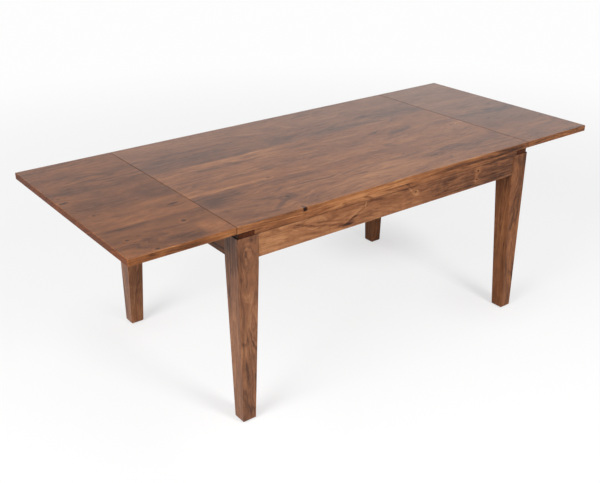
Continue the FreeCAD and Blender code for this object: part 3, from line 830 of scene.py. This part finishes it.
# Each row is a place and half sizes, then a mark's tone or a swell's rise. A place is the height,
# then how far in from the leg's two outer faces.
LEG_MARKS = {
    "front_left": (
        (215, 22, 0, 60, 7, 10, -0.24),
        (170, 30, 0, 40, 6, 10, -0.16),
        (504, 0, 60, 22, 10, 8, -0.26),
        (460, 0, 52, 50, 10, 10, -0.14),
        # Painted shade: the end face is darker at the top, where the leaf's shadow falls.
        (690, 0, 30, 130, 24, 70, -0.15),
        # Painted light: the end face is paler below the leaf's shadow.
        (440, 0, 30, 60, 20, 60, 0.05),
        (440, 40, 0, 90, 30, 20, 0.04),
        (708, 55, 0, 16, 26, 10, -0.2),
        (655, 20, 0, 60, 10, 10, -0.12),
        (650, 31, 0, 26, 4, 10, -0.22),
        (630, 40, 0, 14, 4, 10, -0.2),
        (120, 40, 0, 120, 30, 20, -0.06),
        # Painted light: the end face is paler below the leaf's shadow.
        (320, 0, 40, 180, 10, 30, 0.09),
        (330, 30, 0, 140, 34, 20, 0.05),
    ),
    "front_right": (
        (640, 60, 0, 60, 12, 10, 0.08),
        (500, 20, 0, 200, 8, 10, -0.12),
        (250, 45, 0, 160, 10, 10, 0.08),
        (690, 40, 0, 30, 60, 10, -0.12),
    ),
}
LEG_SWELLS = {
    "front_left": (
        (648, 31, 0, 60, 22, 30, 0.036),
        (530, 26, 0, 45, 18, 30, 0.022),
        (380, 50, 0, 70, 14, 30, 0.014),
    ),
}


def on_leg(rows, outer, inward):
    """Moves places given from the leg's outer faces to where the leg stands."""
    return tuple(
        ((up / MM, outer[0] + inward[0] * x / MM, outer[1] + inward[1] * y / MM),
         (length / MM, width / MM, deep / MM), *rest)
        for up, x, y, length, width, deep, *rest in rows
    )


for number, (corner, looks) in enumerate(LEG_LOOKS.items()):
    low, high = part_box(corner + "_leg")
    side = 1 if "right" in corner else -1
    depth = 1 if "back" in corner else -1
    outer = (high.x if side > 0 else low.x, high.y if depth > 0 else low.y)
    marks = on_leg(LEG_MARKS.get(corner, ()), outer, (-side, -depth))
    swells = on_leg(LEG_SWELLS.get(corner, ()), outer, (-side, -depth))
    single_board(corner + "_leg", "zxy", wear=LEG_WEAR_AND_HIGHLIGHT, marks=marks, swells=swells,
                 faces=tapered_faces(low, high, outer), seams=(("z", high.z, SEAM),),
                 seed=61 + number, **looks)


# ------------------------
# Glides: discs of dark moulded plastic, slightly scuffed below. One is pressed on under each
# foot.

GLIDE_COLOURS = (0.030, 0.028, 0.026, 1.0), (0.075, 0.070, 0.064, 1.0)
GLIDE_SCUFF = (0.16, 0.15, 0.14, 1.0)
MOULD_BUMP = 0.0001

glide_plastic, tree, shader, sources = new_material("glide_plastic")
place = sources["Object"]
grain = noise(tree, place, (2200.0, 2200.0, 2200.0))
scratches = fade(tree, noise(tree, place, (60.0, 900.0, 60.0), 3.0), 0.58, 0.72)
under = fade(tree, split(tree, sources["Normal"])[2], -0.5, -0.95)
scuffed = times(tree, scratches, under)
colour = tint(tree, "MIX", scuffed, tint(tree, "MIX", grain, *GLIDE_COLOURS), GLIDE_SCUFF)
roughness = weigh(tree, 0.42, (grain, 0.2), (scuffed, 0.2))
dress(tree, shader, colour, roughness, grain, MOULD_BUMP, strength=0.4)
finish(glide_plastic, *(corner + "_glide" for corner in LEG_LOOKS))


# ------------------------
# Corner blocks: blocks of plain hardwood set across the corners and glued to the aprons. Like the
# rest of the timber inside the frame, they are sealed but not polished.

INNER = {"timber": "wood", "gloss": 0.12}

for number, corner in enumerate(LEG_LOOKS):
    single_board(corner + "_corner_block", "zxy", tone=0.26, warmth=0.5,
                 seed=101 + number, **INNER)


# ------------------------
# Hanger bolts, washers and nuts: zinc-plated steel. Each bolt is screwed into its leg, passes
# through the corner block, and its nut pulls the leg into the corner.


def centre(corners):
    return sum(corners, Vector()) / len(corners)


def solids(name):
    """The corners of each separate solid of a CAD piece, always in the same order."""
    form = bmesh.new()
    form.from_mesh(nodes[name].data)
    bmesh.ops.remove_doubles(form, verts=form.verts, dist=SAME_PLACE)
    left = set(form.verts)
    found = []
    while left:
        ring = [left.pop()]
        solid = []
        while ring:
            corner = ring.pop()
            solid.append(corner.co.copy())
            linked = {edge.other_vert(corner) for edge in corner.link_edges} & left
            left -= linked
            ring.extend(linked)
        found.append(sorted(solid, key=tuple))
    form.free()
    return sorted(found, key=lambda solid: tuple(round(value, 4) for value in centre(solid)))


def turned(name, profile, sides, radius_at=None):
    """A closed mesh turned round Z from (radius, height) points. radius_at may change the radius
    by height and angle, for a thread or flutes."""
    points = []
    for radius, height in profile:
        for step in range(sides):
            angle = math.tau * step / sides
            reach = radius_at(radius, height, angle) if radius_at else radius
            points.append((reach * math.cos(angle), reach * math.sin(angle), height))
    faces = [tuple(reversed(range(sides)))]
    for ring in range(len(profile) - 1):
        for step in range(sides):
            after = (step + 1) % sides
            start = ring * sides
            faces.append((start + step, start + after, start + sides + after, start + sides + step))
    faces.append(tuple(range(len(points) - sides, len(points))))
    mesh = bpy.data.meshes.new(name)
    mesh.from_pydata(points, [], faces)
    return mesh


def thread(core, crest, pitch):
    """A radius that follows a thread, for turned."""
    def reach(radius, height, angle):
        turn = (height / pitch - angle / math.tau) % 1.0
        ridge = 1.0 - abs(2.0 * turn - 1.0)
        return min(radius, core + (crest - core) * ridge)
    return reach


def rungs(start, end, step):
    """Heights from start to end, about one step apart."""
    count = max(1, round((end - start) / step))
    return [start + (end - start) * number / count for number in range(count + 1)]


def carve(mesh, cutter, operation="DIFFERENCE"):
    """Cuts one mesh with another and returns the result."""
    body = add_object("carved", mesh)
    tool = add_object("tool", cutter)
    cut = body.modifiers.new("cut", "BOOLEAN")
    cut.operation = operation
    cut.solver = "EXACT"
    cut.object = tool
    bpy.context.view_layer.update()
    state = bpy.context.evaluated_depsgraph_get()
    result = bpy.data.meshes.new_from_object(body.evaluated_get(state))
    bpy.data.objects.remove(body)
    bpy.data.objects.remove(tool)
    return result


def gather(name, node, material, placed):
    """Joins copies of meshes into one piece that stands for a CAD piece. placed is (mesh, matrix)."""
    form = bmesh.new()
    for mesh, matrix in placed:
        copy = mesh.copy()
        copy.transform(matrix)
        form.from_mesh(copy)
        bpy.data.meshes.remove(copy)
    joined = bpy.data.meshes.new(name)
    form.to_mesh(joined)
    form.free()
    joined.materials.append(material)
    joined.set_sharp_from_angle(angle=SMOOTH_BELOW)
    for face in joined.polygons:
        face.use_smooth = True
    piece = add_object(name, joined)
    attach(piece, nodes[node]["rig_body"])
    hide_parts(node)


SAME_PLACE = 1e-6
SMOOTH_BELOW = math.radians(35)

BOLT_RADIUS = 0.004
BOLT_CORE = 0.0034
BOLT_PITCH = 0.00125
BOLT_RINGS = 4
BOLT_SIDES = 20
BOLT_CHAMFER = 0.0008
BOLT_TIP = BOLT_RADIUS * 1.5
BOLT_POINT = BOLT_RADIUS * 0.15
WOOD_CORE = BOLT_CORE * 0.9
WOOD_PITCH = 0.0030
WOOD_LENGTH = 0.036
NUT_CORNER = 0.0075
NUT_HEIGHT = 0.0065
NUT_CHAMFER = 0.0007
HEX = 6
ROUND_SIDES = 48

# Zinc plating is a dull blue-grey with soft blotches, fine scratches and a faint warm cast.
ZINC_COLOURS = (0.46, 0.47, 0.48, 1.0), (0.68, 0.67, 0.63, 1.0)
ZINC_BUMP = 0.00004

tree, given, wanted = node_group("zinc_plating", "Position", "Color Roughness Height")
blotch = noise(tree, given["Position"], (160.0, 160.0, 160.0), 3.0)
scratch = fade(tree, noise(tree, given["Position"], (300.0, 300.0, 2600.0)), 0.56, 0.70)
tree.links.new(tint(tree, "MIX", fade(tree, blotch, 0.3, 0.7), *ZINC_COLOURS), wanted["Color"])
tree.links.new(weigh(tree, 0.30, (blotch, 0.22), (scratch, -0.08)), wanted["Roughness"])
tree.links.new(weigh(tree, blotch, (scratch, -0.6)), wanted["Height"])


def steel(name):
    made, tree, shader, sources = new_material(name)
    metal = use(tree, "zinc_plating", position=sources["Object"])
    dress(tree, shader, metal["Color"], metal["Roughness"], metal["Height"], ZINC_BUMP)
    shader.inputs["Metallic"].default_value = 1.0
    return made


def bolt_mesh(length):
    """A hanger bolt: a coarse thread with a point at its leg end, a fine one at its nut end."""
    heights = rungs(BOLT_TIP, WOOD_LENGTH, WOOD_PITCH / BOLT_RINGS)
    heights += rungs(WOOD_LENGTH + BOLT_TIP, length - BOLT_CHAMFER, BOLT_PITCH / BOLT_RINGS)
    profile = [(BOLT_POINT, 0.0), (BOLT_RADIUS * 0.5, BOLT_TIP * 0.5)]
    profile += [(BOLT_RADIUS, height) for height in heights]
    profile += [(BOLT_RADIUS - BOLT_CHAMFER, length)]
    coarse = thread(WOOD_CORE, BOLT_RADIUS, WOOD_PITCH)
    fine = thread(BOLT_CORE, BOLT_RADIUS, BOLT_PITCH)

    def reach(radius, height, angle):
        return (coarse if height < WOOD_LENGTH + SAME_PLACE else fine)(radius, height, angle)
    return turned("hanger_bolt", profile, BOLT_SIDES, reach)


def nut_mesh():
    """A hexagon nut, its corners turned off at both ends, with a threaded hole."""
    flat = NUT_CORNER * math.cos(math.pi / HEX)
    mouth = BOLT_RADIUS + NUT_CHAMFER
    over = NUT_CHAMFER * 0.2
    upper = NUT_HEIGHT - NUT_CHAMFER
    body = turned("nut", [(NUT_CORNER, 0.0), (NUT_CORNER, NUT_HEIGHT)], HEX)
    round_form = [(flat, -SAME_PLACE), (NUT_CORNER, NUT_CHAMFER), (NUT_CORNER, upper),
                  (flat, NUT_HEIGHT + SAME_PLACE)]
    body = carve(body, turned("nut_turning", round_form, ROUND_SIDES), "INTERSECT")
    bore = [(mouth, -over), (BOLT_RADIUS, NUT_CHAMFER), (BOLT_RADIUS, upper),
            (mouth, NUT_HEIGHT + over)]
    return carve(body, turned("nut_bore", bore, BOLT_SIDES))


def along_axis(solid):
    """Where a solid on a corner's diagonal starts and ends, and the turn that lays Z along it."""
    middle = centre(solid)
    inward = Vector((-math.copysign(1.0, middle.x), -math.copysign(1.0, middle.y), 0.0)).normalized()
    reaches = [(corner - middle).dot(inward) for corner in solid]
    turn = inward.to_track_quat("Z", "Y").to_matrix().to_4x4()
    start = middle + inward * min(reaches)
    return start, max(reaches) - min(reaches), turn


bolt_steel = steel("bolt_steel")
finish(bolt_steel, "hanger_bolt_washers")
bolts = []
for solid in solids("hanger_bolts"):
    start, length, turn = along_axis(solid)
    bolts.append((bolt_mesh(length), Matrix.Translation(start) @ turn))
gather("threaded_hanger_bolts", "hanger_bolts", bolt_steel, bolts)
nut = nut_mesh()
nuts = []
for solid in solids("hanger_bolt_nuts"):
    start, _, turn = along_axis(solid)
    nuts.append((nut, Matrix.Translation(start) @ turn))
gather("hexagon_nuts", "hanger_bolt_nuts", bolt_steel, nuts)


# ------------------------
# Cross rails: two rails of plain hardwood between the long aprons, notched over the bearers'
# ends, which carry the main top between the legs.

for number, side in enumerate(SIDES):
    single_board(side + "_cross_rail", "yzx", tone=0.28, warmth=0.5,
                 seed=111 + number, **INNER)


# ------------------------
# Cleats: two long hardwood strips along the insides of the front and the back of the frame,
# screwed up into the main top.

for number, depth in enumerate(("front", "back")):
    single_board(depth + "_top_cleat", "xyz", tone=0.30, warmth=0.5,
                 seed=121 + number, **INNER)


# ------------------------
# Bearer guides: pairs of waxed hardwood strips, screwed up into the main top. Each pair steers
# the bearer that slides between them.

for number, corner in enumerate(LEG_LOOKS):
    depth, side = corner.split("_")
    single_board(f"{side}_{depth}_bearer_guides", "xyz", tone=0.24, warmth=0.6,
                 seed=131 + number, **INNER)


# ------------------------
# Top screws: round-head wood screws with a cross recess, driven up through the cleats and the
# guides into the main top.

SCREW_RADIUS = 0.002
SCREW_CORE = 0.0014
SCREW_TIP = SCREW_CORE * 0.15
SCREW_PITCH = 0.0020
SCREW_RINGS = 3
SCREW_SIDES = 12
HEAD_RADIUS = 0.004
HEAD_HEIGHT = 0.0026
HEAD_SIDES = 24
RECESS_REACH = 0.0024
RECESS_WIDTH = 0.0009
RECESS_DEPTH = 0.0016
RECESS_TAPER = 0.45
PLAIN_SHARE = 0.35
# The head's outline below its seat: (share of its radius, share of its height).
HEAD_FORM = ((0.30, -1.0), (0.62, -0.95), (0.85, -0.75), (0.97, -0.45), (1.0, -0.15), (0.98, 0.0))


def wedge_bar(reach, width, depth, base):
    """A bar that narrows upward, for one arm of the recess."""
    points = []
    for share, height in ((1.0, base - SCREW_CORE), (1.0, base), (RECESS_TAPER, base + depth)):
        for x, y in ((-1, -1), (1, -1), (1, 1), (-1, 1)):
            points.append((x * reach * share, y * width * 0.5, height))
    faces = [(3, 2, 1, 0), (8, 9, 10, 11)]
    for level in (0, 4):
        for step in range(4):
            after = (step + 1) % 4
            faces.append((level + step, level + after, level + 4 + after, level + 4 + step))
    mesh = bpy.data.meshes.new("recess")
    mesh.from_pydata(points, [], faces)
    return mesh


def screw_mesh(length):
    """A screw with its head below Z = 0 and its shank above."""
    head = [(HEAD_RADIUS * across, HEAD_HEIGHT * down) for across, down in HEAD_FORM]
    form = turned("screw_head", head, HEAD_SIDES)
    for quarter in (0.0, math.pi / 2):
        bar = wedge_bar(RECESS_REACH, RECESS_WIDTH, RECESS_DEPTH, -HEAD_HEIGHT)
        bar.transform(Matrix.Rotation(quarter, 4, "Z"))
        form = carve(form, bar)
    plain = length * PLAIN_SHARE
    point = length - HEAD_RADIUS
    shank = [(SCREW_RADIUS, 0.0), (SCREW_RADIUS, plain)]
    heights = rungs(plain + SCREW_PITCH, point, SCREW_PITCH / SCREW_RINGS)
    threaded = [(SCREW_RADIUS, height) for height in heights] + [(SCREW_TIP, length)]
    spiral = thread(SCREW_CORE, SCREW_RADIUS, SCREW_PITCH)

    def reach(radius, height, angle):
        return radius if height <= plain else spiral(radius, height, angle)
    return form, turned("screw_shank", shank + threaded, SCREW_SIDES, reach)


def extent(corners):
    """The lowest and the highest value of corners along each axis."""
    return Vector(map(min, zip(*corners))), Vector(map(max, zip(*corners)))


def screws(node, name, seed):
    """Puts a detailed screw in place of each one of a CAD group, its recess turned anyhow."""
    draw = random.Random(seed)
    made = {}
    placed = []
    for solid in solids(node):
        low, high = extent(solid)
        length = round(high.z - low.z - HEAD_HEIGHT, 5)
        if length not in made:
            made[length] = screw_mesh(length)
        middle = (low + high) / 2
        spot = Matrix.Translation((middle.x, middle.y, low.z + HEAD_HEIGHT))
        turn = Matrix.Rotation(draw.uniform(0.0, math.pi), 4, "Z")
        placed += [(mesh, spot @ turn) for mesh in made[length]]
    gather(name, node, screw_steel, placed)


screw_steel = steel("screw_steel")
screws("top_screws", "cross_recess_top_screws", 141)


# ------------------------
# End leaves: two walnut panels glued up like the main top, from other boards of the same stack.
# Each is held by its two bearers and kept flat by a batten.

LEFT_BOARDS = (
    (front, -0.07, 1.0),
    (front + 0.115, -0.14, 1.0),
    (front + 0.220, -0.10, 1.0),
    (front + 0.389, -0.14, 1.0),
    (front + 0.620, -0.13, 1.0),
    (front + 0.770, -0.11, 1.0),
)
LEFT_KNOTS = on_face(
    top,
    (-1068, 63, 18, 9),
    (-1068, 110, 8, 5),
    (-1032, -95, 8, 6),
    (-1032, -335, 8, 6),
    (-772, -157, 24, 8),
    (-817, -305, 9, 10),
    (-985, -442, 10, 6),
)
LEFT_MARKS = on_face(
    top,
    (-860, -415, 95, 34, -0.17, -5),
    (-840, -428, 50, 18, -0.08),
    (-1030, -250, 60, 12, -0.14),
    (-740, -55, 100, 60, -0.06),
    (-1000, 145, 90, 22, -0.1, -6),
    (-800, -160, 60, 10, -0.14, -10),
    (-930, -248, 170, 8, -0.16, -1),
    (-850, -325, 100, 8, -0.12),
    (-1020, -10, 60, 60, -0.1, 30),
    (-790, 20, 80, 50, -0.05),
    (-930, 10, 60, 90, -0.08, 20),
    (-805, -98, 90, 20, 0.16, 4),
    (-750, -400, 60, 55, 0.16),
    (-960, -225, 120, 12, 0.12),
    (-1040, 90, 60, 20, 0.08),
    (-830, 330, 120, 60, 0.06),
    (-760, FRONT, 80, 20, 0.14),
) + on_face(
    EDGE_HEIGHT,
    (-940, FRONT, 170, 6, -0.16),
    (-760, FRONT, 60, 6, 0.1),
    deep=EDGE_DEEP,
)
LEFT_SWELLS = on_face(
    top,
    (-880, -405, 110, 34, 0.024),
    (-960, 40, 100, 50, 0.018),
)
RIGHT_BOARDS = (
    (front, -0.075, 1.0),
    (front + 0.130, -0.075, 1.0),
    (front + 0.275, -0.08, 0.35),
    (front + 0.430, -0.02, 0.5),
    (front + 0.600, 0.02, 0.6),
    (front + 0.760, 0.0, 0.55),
)
RIGHT_KNOTS = on_face(top, (840, -130, 14, 8))
RIGHT_SWELLS = on_face(top, (900, -60, 110, 50, 0.022))
RIGHT_MARKS = on_face(
    top,
    (850, 340, 90, 25, -0.14),
    (870, 55, 60, 25, -0.14),
    (960, -60, 110, 50, -0.12, 4),
    (780, -200, 50, 60, -0.12, 20),
    (800, 10, 60, 40, 0.08),
)
for side, boards, knots, marks, swells, figure, polish, seed in (
    ("left", LEFT_BOARDS, LEFT_KNOTS, LEFT_MARKS, LEFT_SWELLS, 0.85, 0.41, 23),
    ("right", RIGHT_BOARDS, RIGHT_KNOTS, RIGHT_MARKS, RIGHT_SWELLS, 1.0, 0.60, 37),
):
    leaf = side + "_leaf"
    low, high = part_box(leaf)
    joint = high.x if side == "left" else low.x
    finish(walnut(leaf + "_walnut", "xyz", boards, knots, marks, swells, (("x", joint, SEAM),),
                  nearest_faces(leaf), figure=figure, polish=polish, seed=seed), leaf)


# ------------------------
# Bearers: four waxed hardwood runners, two to a leaf, screwed up into it through counterbores.
# They carry the leaf and slide in under the main top.

BEARER_GLOSS = 0.3

for number, corner in enumerate(LEG_LOOKS):
    depth, side = corner.split("_")
    bearer = f"{side}_{depth}_bearer"
    single_board(bearer, "xzy", tone=0.14, warmth=0.7, timber="wood", gloss=BEARER_GLOSS,
                 faces=nearest_faces(bearer), seed=151 + number)


# ------------------------
# Battens: a strip of wood across the underside of each leaf near its outer end, screwed up into
# it to keep it flat.

for number, side in enumerate(SIDES):
    batten = side + "_leaf_batten"
    single_board(batten, "yxz", tone=0.04, warmth=0.8, timber="wood", faces=nearest_faces(batten),
                 seed=161 + number)


# ------------------------
# Leaf screws: round-head steel screws driven up through the bearers and the battens into each
# leaf.

for number, side in enumerate(SIDES):
    screws(side + "_bearer_screws", side + "_cross_recess_bearer_screws", 171 + number)
    screws(side + "_batten_screws", side + "_cross_recess_batten_screws", 181 + number)


# ------------------------
# Leaf dowels: fluted beech pins glued into each leaf's inner edge, which line it up with the
# main top.

DOWEL_SIDES = 80
DOWEL_FLUTES = 20
FLUTE_DEPTH = 0.00022
DOWEL_CHAMFER = 0.0008
BEECH = (0.50, 0.33, 0.19), (0.66, 0.47, 0.30)

beech, tree, shader, sources = new_material("beech")
place = sources["Object"]
fibre = noise(tree, place, (70.0, 1500.0, 1500.0), 3.0)
fleck = fade(tree, noise(tree, place, (350.0, 2400.0, 2400.0), 1.0), 0.60, 0.68)
colour = colour_steps(tree, fibre, ((0.3, BEECH[0]), (0.7, BEECH[1])))
colour = tint(tree, "MULTIPLY", fleck, colour, PORE)
dress(tree, shader, colour, weigh(tree, 0.52, (fibre, 0.2)), fibre, GRAIN_BUMP)


def dowel_mesh(radius, length):
    def reach(across, height, angle):
        groove = max(0.0, math.cos(angle * DOWEL_FLUTES))
        return across - FLUTE_DEPTH * groove
    narrow = radius - DOWEL_CHAMFER
    profile = [(narrow, 0.0), (radius, DOWEL_CHAMFER), (radius, length - DOWEL_CHAMFER),
               (narrow, length)]
    return turned("dowel", profile, DOWEL_SIDES, reach)


for side in SIDES:
    pins = []
    for solid in solids(side + "_leaf_dowels"):
        low, high = extent(solid)
        middle = (low + high) / 2
        lay = Matrix.Translation((low.x, middle.y, middle.z)) @ Matrix.Rotation(math.pi / 2, 4, "Y")
        pins.append((dowel_mesh((high.y - low.y) / 2, high.x - low.x), lay))
    gather(side + "_fluted_dowels", side + "_leaf_dowels", beech, pins)
